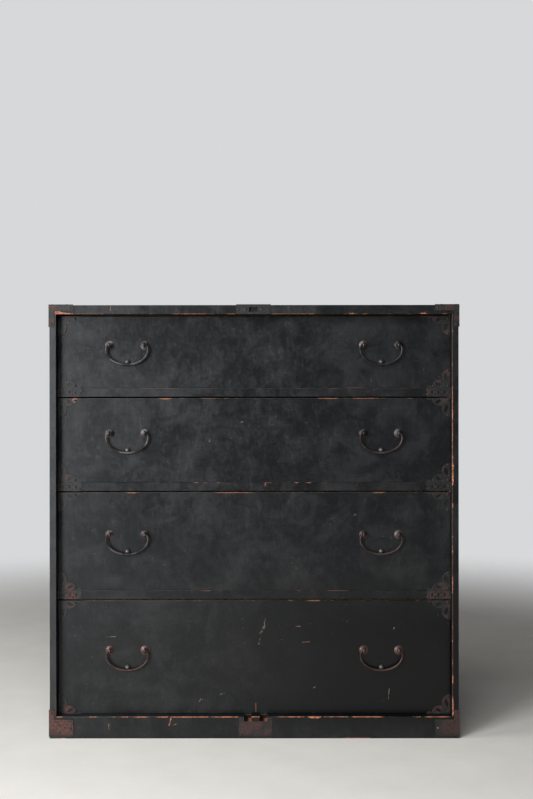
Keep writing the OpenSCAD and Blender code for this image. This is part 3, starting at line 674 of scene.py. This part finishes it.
class CHEST_OT_case(Operator):
    """Finishes the boards, rails and sills of the case"""

    bl_idname = "chest.case"
    bl_label = "Case"

    def execute(self, context):
        ease = context.scene.chest_lacquer.ease
        # The left board's front edge gets a painted sheen
        lacquer("side_board_left", ease, "z", self.bare_side, seed=0.0, fresh=0.4,
                edges={"right": 0.5, "left": 0.7}, paint=self.faded_front)
        lacquer("side_board_right", ease, "z", self.bare_side, seed=2.0, fresh=1.3,
                edges={"left": 1.2, "right": 0.7})
        lacquer("top_board", ease, "x", self.bare_top, seed=4.0, edges={"bottom": 1.1, "top": 0.9})
        # The sill's mortises get painted shade, and a painted patch of light on each floor
        lacquer("front_sill", ease, "x", self.bare_sill, seed=6.0, edges={"top": 1.8, "bottom": 0.6},
                paint=self.mortise_walls)
        for number in (1, 2, 3):
            lacquer(f"rail_{number}", ease * 0.8, "x", bare_back, seed=7.0 + number,
                    fresh=0.7 if number == 2 else 0.2, edges={"top": 0.5})

        plank = bare_wood("bare_wood_panels", "x", 3.0, 0.45)
        for node in ("bottom_board", "dust_board_1", "dust_board_2", "dust_board_3", "rear_sill"):
            dress(node, "bare_wood", plank, 0.0005)
        dress("back_boards", "bare_wood", self.back_wood(), 0.0007)
        return {"FINISHED"}

    @staticmethod
    def bare_side(recipe):
        """A side board is bare on its inner side, behind the drawers' faces."""
        return (abs(recipe.x) < INNER_X + BARE_MARGIN) * (recipe.y > INSIDE_Y)

    @staticmethod
    def bare_top(recipe):
        """The top board is bare on its underside, behind the drawers' faces."""
        return (recipe.z < UNDER_TOP_Z + BARE_MARGIN) * (recipe.y > INSIDE_Y)

    @staticmethod
    def faded_front(recipe, colour):
        """Painted sheen: the left board's front edge is painted paler than the rest."""
        return recipe.mix((recipe.y < FRONT_Y + 6 * MM) * 0.3, colour, (0.045, 0.045, 0.046))

    @staticmethod
    def in_mortise(recipe, lo, hi, depth):
        """1 round the space of a mortise, from a depth behind the sill's front."""
        wide = (recipe.x > lo[0] - MORTISE_MARGIN) * (recipe.x < hi[0] + MORTISE_MARGIN)
        deep = (recipe.y > FRONT_Y + depth) * (recipe.y < hi[1] + MORTISE_MARGIN)
        return wide * deep * (recipe.z > lo[2] - MORTISE_MARGIN)

    def bare_sill(self, recipe):
        """The sill is bare behind the drawers' faces and inside its two mortises."""
        bare = recipe.y > INSIDE_Y
        below = recipe.z < SILL_Z - MORTISE_MARGIN
        for lo, hi in MORTISES:
            bare = bare.or_more(self.in_mortise(recipe, lo, hi, MORTISE_MARGIN) * below)
        return bare

    def mortise_walls(self, recipe, colour):
        """Painted shade inside the mortises, with a painted patch of light in the colour of lit bare wood on the
        right of each floor.
        """
        for lo, hi in MORTISES:
            walls = self.in_mortise(recipe, lo, hi, 0.6 * MM)
            fresh = (recipe.x - (lo[0] + hi[0]) / 2).rise(-1 * MM, 3 * MM) * (recipe.z < lo[2] + 0.5 * MM)
            # Painted shade: the mortise's walls and floor are painted near black
            colour = recipe.mix(walls, colour, (0.008, 0.005, 0.004))
            # Painted light: the right of each floor is painted the colour of lit bare wood
            colour = recipe.mix(walls * fresh, colour, (0.30, 0.085, 0.035))
        return colour

    @staticmethod
    def back_wood():
        """Weathered boards with a row of dark nail heads along each side of the back."""
        recipe = Recipe("bare_wood_back")
        colour, height = wood_grain(recipe, "x", 9.0)
        grime = recipe.cloud(6, 5, 0.62, 12.0).rise(0.35, 0.7) * 0.75
        colour = recipe.mix(grime, colour, (0.085, 0.058, 0.040))
        pitch = 60 * MM
        step = recipe.math("FRACT", recipe.z / pitch) - 0.5
        side = abs(recipe.x) - (INNER_X + 3.5 * MM)
        spread = recipe.distance(step * pitch, side)
        nail = spread.rise(2.6 * MM, 2 * MM)
        stain = spread.rise(12 * MM, 3 * MM) * 0.5
        colour = recipe.mix(stain, colour, (0.06, 0.04, 0.03))
        colour = recipe.mix(nail, colour, (0.035, 0.028, 0.026))
        return recipe.finish(colour, 0.8 - nail * 0.2, height + nail * 0.5, 0.0003)


# ---------- drawers ----------
# Seeds that put the paler patches about where the chest has them
DRAWER_SEEDS = {1: 83.0, 2: 26.0, 3: 89.0, 4: 32.0}


class CHEST_OT_drawers(Operator):
    """Finishes the fronts, sides, backs and bottoms of the drawers"""

    bl_idname = "chest.drawers"
    bl_label = "Drawers"

    def execute(self, context):
        ease = context.scene.chest_lacquer.ease
        side_wood = bare_wood("bare_wood_drawer_sides", "y", 15.0, 0.3)
        cross_wood = bare_wood("bare_wood_drawer_backs", "x", 17.0, 0.3)
        for number in DRAWERS:
            lacquer(f"drawer_{number}_front", ease, "x", bare_back, seed=DRAWER_SEEDS[number], fresh=0.6,
                    edges={"top": 0.8, "bottom": 0.4, "left": 0.3, "right": 0.5})
            for part, wood in (("left_side", side_wood), ("right_side", side_wood),
                               ("back", cross_wood), ("bottom", cross_wood)):
                dress(f"drawer_{number}_{part}", "bare_wood", wood, 0.0006)
        return {"FINISHED"}


# ---------- irons ----------
# Badly rusted places on some plates: x, z and radius in millimetres, and how raw they are
RUST_SPOTS = {
    "top_corner_irons": [(-436, 897, 12), (-436, 927, 12), (-425, 925, 8), (420, 926, 18), (398, 926, 10),
                         (437, 905, 8)],
    "bottom_corner_irons": [(428, 24, 34), (436, 55, 20), (-415, 22, 50), (-436, 52, 22)],
    "bottom_lock_plate": [(-20, 20, 20), (3, 34, 20), (30, 12, 12)],
    "rail_end_plates": [(414, 303, 15), (385, 305, 12), (-396, 305, 18), (377, 744, 8)],
    "drawer_1_corner_plates": [(-401, 903, 9), (-411, 885, 7), (388, 905, 14), (417, 874, 10),
                               (416, 786, 14), (397, 767, 11)],
    "drawer_2_corner_plates": [(-389, 728.5, 10, 0.9), (-408, 560, 8), (411, 728, 10), (406, 580, 11)],
    "drawer_3_corner_plates": [(-401, 322, 13), (408, 322, 15)],
    "drawer_4_corner_plates": [(-396, 283, 10), (-402, 58, 17), (412, 258, 7), (396, 58, 17),
                               (416, 74, 10)],
}
# How rusty each kind of plate is, and how ruddy the posts of each drawer's bails are
PLATE_RUST = {
    "top_corner_irons": 0.40, "bottom_corner_irons": 0.45, "top_lock_plate": 0.54,
    "bottom_lock_plate": 0.62, "rail_end_plates": 0.46,
    **{f"drawer_{number}_corner_plates": 0.40 for number in DRAWERS},
}
POST_RUST = {1: 0.0, 2: 0.1, 3: 0.3, 4: 0.9}
# The bails' studs are the only nails in the drawers nearer the middle than this
STUD_REACH = 0.35
# The newest nail in a corner iron, as its x and a height above it
BRIGHT_NAIL = (0.395, 0.03)


class CHEST_OT_irons(Operator):
    """Finishes the corner irons, plates, nails and handle posts"""

    bl_idname = "chest.irons"
    bl_label = "Irons"

    def execute(self, context):
        ease = context.scene.chest_iron.ease
        rubbed = rubbed_iron()
        for index, (node, rust) in enumerate(PLATE_RUST.items()):
            material = plate_iron(f"sheet_iron_{node}", rust, 2.0 * index, RUST_SPOTS.get(node, ()))
            dress(node, "rusty_iron", material, ease, rubbed)
        nail_iron = forged_iron(
            "forged_iron_nails", 5.0, 0.0, metal=0.4, rough=0.50,
            polished=lambda recipe: abs(recipe.x) < STUD_REACH)
        case_nail_iron = forged_iron(
            "forged_iron_case_nails", 6.0, 0.15, metal=0.4, rough=0.50,
            polished=lambda recipe: (abs(recipe.x - BRIGHT_NAIL[0]) < 0.006) * (recipe.z < BRIGHT_NAIL[1]))
        dress("case_nails", "forged_iron", case_nail_iron)
        for number in DRAWERS:
            dress(f"drawer_{number}_nails", "forged_iron", nail_iron)
            ruddy = POST_RUST[number]
            post_iron = forged_iron(
                f"forged_iron_posts_{number}", 8.0 + number, 0.7, ruddy, metal=0.8 - ruddy * 0.2, rough=0.27)
            dress(f"drawer_{number}_handle_posts", "forged_iron", post_iron)
        return {"FINISHED"}


# ---------- bails ----------
def bail_line(bail):
    """The bar's middle line from pin to pin, in the plane of the bail, with its radius at each point."""
    eye = 0.038
    pin_tip = eye - 3.4 * MM
    elbow = eye + 2.4 * MM
    steps, sweep = 20, math.radians(102)
    arc = [sweep * (2 * step / steps - 1) for step in range(steps + 1)]
    line = [Vector((bail.half_width * math.sin(turn), 0,
                    -bail.waist - (bail.drop - bail.waist) * math.cos(turn))) for turn in arc]
    line = [Vector((-pin_tip, 0, 0)), Vector((-elbow, 0, 0)), *line, Vector((elbow, 0, 0)),
            Vector((pin_tip, 0, 0))]
    for _ in range(2):
        line = cut_corners(line)
    return [(point, bail_radius(bail, point, elbow)) for point in line]


def cut_corners(line):
    """Rounds a line by cutting each corner at a quarter of its sides; the ends stay."""
    rounded = [line[0]]
    for first, second in zip(line, line[1:]):
        rounded += [first.lerp(second, 0.25), first.lerp(second, 0.75)]
    return rounded + [line[-1]]


def bail_radius(bail, point, elbow):
    """The pin's radius inside the eye, growing to the elbow's and then to the middle's."""
    if point.z > -0.2 * MM and abs(point.x) < elbow - 0.4 * MM:
        return bail.pin_radius
    middle = 1 - (abs(point.x) / bail.half_width) ** 2
    return bail.elbow_radius + (bail.middle_radius - bail.elbow_radius) * max(0.0, middle)


def swept_bar(name, line, sides, shape_point):
    """A closed tube round a line in the XZ plane; shape_point may move each of its points."""
    rings = []
    last = len(line) - 1
    for index, (point, radius) in enumerate(line):
        ahead = line[min(index + 1, last)][0] - line[max(index - 1, 0)][0]
        run = ahead.normalized()
        across = Vector((-run.z, 0, run.x))
        ring = []
        for side in range(sides):
            turn = math.tau * side / sides
            offset = (across * math.cos(turn) + Vector((0, 1, 0)) * math.sin(turn)) * radius
            ring.append(shape_point(point, offset))
        rings.append(ring)
    points = [point for ring in rings for point in ring]
    faces = []
    for ring in range(last):
        for side in range(sides):
            a, b = ring * sides + side, ring * sides + (side + 1) % sides
            faces.append((a, a + sides, b + sides, b))
    faces.append(tuple(range(sides)))
    faces.append(tuple(last * sides + side for side in reversed(range(sides))))
    mesh = bpy.data.meshes.new(name)
    mesh.from_pydata(points, [], faces)
    shape = bmesh.new()
    shape.from_mesh(mesh)
    bmesh.ops.recalc_face_normals(shape, faces=shape.faces)
    shape.to_mesh(mesh)
    shape.free()
    smooth_over(mesh, 50)
    return mesh


class CHEST_OT_bails(Operator):
    """Forges a tapered bail in the place of each plain one"""

    bl_idname = "chest.bails"
    bl_label = "Bails"

    def execute(self, context):
        bail = context.scene.chest_bail
        line = bail_line(bail)
        for number in DRAWERS:
            for side in SIDES:
                node = f"drawer_{number}_{side}_bail"
                seed = number * 7.3 + (3.1 if side == "left" else 0.0)
                mesh = swept_bar("dressed_" + node, line, 20, self.hammered(bail, seed))
                mesh.transform(Matrix.Translation(HINGES[BODY_OF[node]]))
                # The upper left bails are painted brighter than the rest, as painted light from the left; the
                # others get ruddier downwards
                bright, ruddy = (0.9, 0.0) if side == "left" and number < 4 else (0.5, 0.25 * (number - 1))
                material = forged_iron(f"forged_iron_{node}", seed, bright, ruddy=ruddy)
                settle(new_piece("dressed_" + node, mesh), BODY_OF[node], "forged_iron", material, node)
        return {"FINISHED"}

    @staticmethod
    def hammered(bail, seed):
        """Moves a point of the bar in by up to the depth of a hammer mark, but leaves the pins round."""

        def shape_point(point, offset):
            if point.z > -1.5 * MM:
                return point + offset
            spot = (point + offset) * 190 + Vector((seed, seed, seed))
            dent = (noise.noise(spot) * 0.5 + 0.5) * bail.hammering
            broad = (noise.noise(point * 60 + Vector((seed, 0, 0))) * 0.5 + 0.5) * bail.hammering
            return point + offset * (1 - (dent + broad) / offset.length)

        return shape_point


# ---------- nails in the drawers' joints ----------
def nail_rows_tree():
    """Geometry Nodes: domed heads along the edges of a mesh, at an even spacing."""
    tree = bpy.data.node_groups.new("Nail rows", "GeometryNodeTree")
    add = NodeBench(tree).node
    sockets = {}
    tree.interface.new_socket("Geometry", in_out="INPUT", socket_type="NodeSocketGeometry")
    for label, kind in (("Spacing", "NodeSocketFloat"), ("Radius", "NodeSocketFloat"),
                        ("Seed", "NodeSocketInt"), ("Material", "NodeSocketMaterial")):
        sockets[label] = tree.interface.new_socket(label, in_out="INPUT", socket_type=kind).identifier
    tree.interface.new_socket("Geometry", in_out="OUTPUT", socket_type="NodeSocketGeometry")

    given = add("NodeGroupInput").outputs
    curve = add("GeometryNodeMeshToCurve", {}, {"Mesh": given["Geometry"]})
    spaced = add("GeometryNodeResampleCurve", {"mode": "LENGTH"},
                 {"Curve": curve.outputs[0], "Length": given["Spacing"]})
    head = add("GeometryNodeMeshUVSphere", {}, {"Segments": 10, "Rings": 6, "Radius": given["Radius"]})
    normal = add("GeometryNodeInputNamedAttribute", {"data_type": "FLOAT_VECTOR"}, {"Name": "out"})
    turned = add("FunctionNodeAlignRotationToVector", {"axis": "Z"}, {"Vector": normal.outputs[0]})
    size = add("FunctionNodeRandomValue", {"data_type": "FLOAT_VECTOR"},
               {0: (0.85, 0.85, 0.09), 1: (1.1, 1.1, 0.12), "Seed": given["Seed"]})
    heads = add("GeometryNodeInstanceOnPoints", {},
                {"Points": spaced.outputs[0], "Instance": head.outputs["Mesh"],
                 "Rotation": turned.outputs[0], "Scale": size.outputs[0]})
    real = add("GeometryNodeRealizeInstances", {}, {"Geometry": heads.outputs[0]})
    painted = add("GeometryNodeSetMaterial", {},
                  {"Geometry": real.outputs[0], "Material": given["Material"]})
    add("NodeGroupOutput", {}, {0: painted.outputs[0]})
    return tree, sockets


class CHEST_OT_joint_nails(Operator):
    """Nails the sides of each drawer to its front and back, and its bottom to its sides"""

    bl_idname = "chest.joint_nails"
    bl_label = "Joint nails"

    def execute(self, context):
        wood = context.scene.chest_wood
        tree, sockets = nail_rows_tree()
        material = forged_iron("forged_iron_joint_nails", 33.0, 0.4)
        for number in DRAWERS:
            name = f"drawer_{number}_joint_nails"
            rows = new_piece(name + "_rows", self.row_mesh(name, number))
            modifier = rows.modifiers.new("Nail rows", "NODES")
            modifier.node_group = tree
            modifier[sockets["Spacing"]] = wood.nail_spacing
            modifier[sockets["Radius"]] = wood.nail_radius
            modifier[sockets["Seed"]] = wood.nail_seed + number
            modifier[sockets["Material"]] = material
            context.view_layer.update()
            piece = plain_copy(rows, name)
            shade(piece.data, True)
            settle(piece, f"drawer_{number}", "forged_iron", material)
        return {"FINISHED"}

    @staticmethod
    def row_mesh(name, number):
        """The lines that the nails follow, each with the direction that its heads face."""
        lo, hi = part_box(f"drawer_{number}_right_side")
        floor_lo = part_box(f"drawer_{number}_bottom")[0]
        inset = 5 * MM
        corners, edges, outward = [], [], []
        for sign in (-1, 1):
            for y in (lo.y + inset, hi.y - inset):
                edges.append((len(corners), len(corners) + 1))
                corners += [(sign * hi.x, y, lo.z + 4 * inset), (sign * hi.x, y, hi.z - 4 * inset)]
                outward += [(sign, 0, 0)] * 2
            edges.append((len(corners), len(corners) + 1))
            x = sign * (hi.x - inset)
            corners += [(x, lo.y + 6 * inset, floor_lo.z), (x, hi.y - 6 * inset, floor_lo.z)]
            outward += [(0, 0, -1)] * 2
        mesh = bpy.data.meshes.new(name)
        mesh.from_pydata(corners, edges, [])
        layer = mesh.attributes.new("out", "FLOAT_VECTOR", "POINT")
        layer.data.foreach_set("vector", [value for direction in outward for value in direction])
        return mesh


# ---------- stage ----------
class CHEST_OT_stage(Operator):
    """Lays the floor and sets the lights and the camera"""

    bl_idname = "chest.stage"
    bl_label = "Stage"

    def execute(self, context):
        stage = context.scene.chest_stage
        self.lay_floor(stage)
        self.light_all_round(context, stage)
        self.soft_light("key", (-1.90, -2.9, 0.95), (0.0, -0.2, 0.5), (1.2, 1.9), stage.key_power)
        self.soft_light("side", (-3.2, -0.9, 1.7), (0.0, -0.1, 0.3), (1.6, 1.6), stage.side_power)
        self.soft_light("top", (-0.3, -2.0, 2.2), (-0.1, -1.9, 0.0), (2.0, 0.9), stage.top_power)
        self.place_camera(context, stage)
        return {"FINISHED"}

    @staticmethod
    def lay_floor(stage):
        """A pale floor that fades into the pale background all round."""
        half = 2.4 * stage.floor_reach
        mesh = bpy.data.meshes.new("floor")
        mesh.from_pydata([(-half, -half, 0), (half, -half, 0), (half, half, 0), (-half, half, 0)], [],
                         [(0, 1, 2, 3)])
        floor = new_piece("floor", mesh)
        recipe = Recipe("pale_floor")
        blotch = recipe.cloud(9, 5, 0.6)
        colour = recipe.mix(blotch, Vector(stage.floor) * 0.91, Vector(stage.floor) * 1.08)
        shown = recipe.distance(recipe.x, recipe.y).rise(2.3 * stage.floor_reach, stage.floor_reach)
        mesh.materials.append(recipe.finish(colour, 0.8, blotch, 0.0005, Alpha=shown))

    @staticmethod
    def light_all_round(context, stage):
        """An even light, with a pale background where the camera sees past the floor."""
        world = bpy.data.worlds.new("even_light")
        context.scene.world = world
        world.use_nodes = True
        add = NodeBench(world.node_tree).node
        light = add("ShaderNodeBackground", {}, {"Color": (0.96, 0.98, 1.0, 1), "Strength": stage.fill})
        seen = add("ShaderNodeBackground", {}, {"Color": (*stage.backdrop, 1)})
        path = add("ShaderNodeLightPath")
        choose = add("ShaderNodeMixShader", {}, {
            0: path.outputs["Is Camera Ray"], 1: light.outputs[0], 2: seen.outputs[0]})
        add("ShaderNodeOutputWorld", {}, {"Surface": choose.outputs[0]})

    @staticmethod
    def soft_light(name, place, target, size, power):
        """A rectangular light at a place, turned to a target."""
        lamp = bpy.data.lights.new(name, "AREA")
        lamp.shape = "RECTANGLE"
        lamp.size, lamp.size_y = size
        lamp.energy = power
        lamp.color = (0.93, 0.97, 1.0)
        light = bpy.data.objects.new(name, lamp)
        light.location = place
        light.rotation_euler = (Vector(target) - Vector(place)).to_track_quat("-Z", "Y").to_euler()
        bpy.context.scene.collection.objects.link(light)

    @staticmethod
    def place_camera(context, stage):
        """The camera, straight in front and level but for a small turn."""
        data = bpy.data.cameras.new("camera")
        data.lens = stage.focal_length
        data.sensor_width = 36.0
        data.sensor_fit = "AUTO"
        camera = bpy.data.objects.new("camera", data)
        pitch, roll, yaw = stage.turn
        turned = Euler((math.pi / 2 + pitch, 0, yaw)).to_matrix() @ Matrix.Rotation(roll, 3, "Z")
        camera.matrix_world = Matrix.Translation(Vector(stage.eye)) @ turned.to_4x4()
        context.scene.collection.objects.link(camera)
        context.scene.camera = camera
        context.scene.view_settings.view_transform = "Standard"


# ---------- add-on ----------
OPERATORS = (
    CHEST_OT_case, CHEST_OT_drawers, CHEST_OT_irons, CHEST_OT_bails, CHEST_OT_joint_nails, CHEST_OT_stage)


class CHEST_PT_sidebar(Panel):
    """Buttons and sizes of the chest"""

    bl_idname = "CHEST_PT_sidebar"
    bl_label = "Chest"
    bl_space_type = "VIEW_3D"
    bl_region_type = "UI"
    bl_category = "Chest"

    def draw(self, context):
        for operator in OPERATORS:
            self.layout.operator(operator.bl_idname)
        for name, group in SETTINGS:
            column = self.layout.column(heading=group.__name__)
            for setting in group.__annotations__:
                column.prop(getattr(context.scene, name), setting)


CLASSES = (*(group for _, group in SETTINGS), *OPERATORS, CHEST_PT_sidebar)


def register():
    for item in CLASSES:
        bpy.utils.register_class(item)
    for name, group in SETTINGS:
        setattr(bpy.types.Scene, name, PointerProperty(type=group))


def unregister():
    for name, _ in SETTINGS:
        delattr(bpy.types.Scene, name)
    for item in reversed(CLASSES):
        bpy.utils.unregister_class(item)


def main():
    register()
    bpy.ops.chest.case()
    bpy.ops.chest.drawers()
    bpy.ops.chest.irons()
    bpy.ops.chest.bails()
    bpy.ops.chest.joint_nails()
    bpy.ops.chest.stage()


if __name__ == "__main__":
    main()
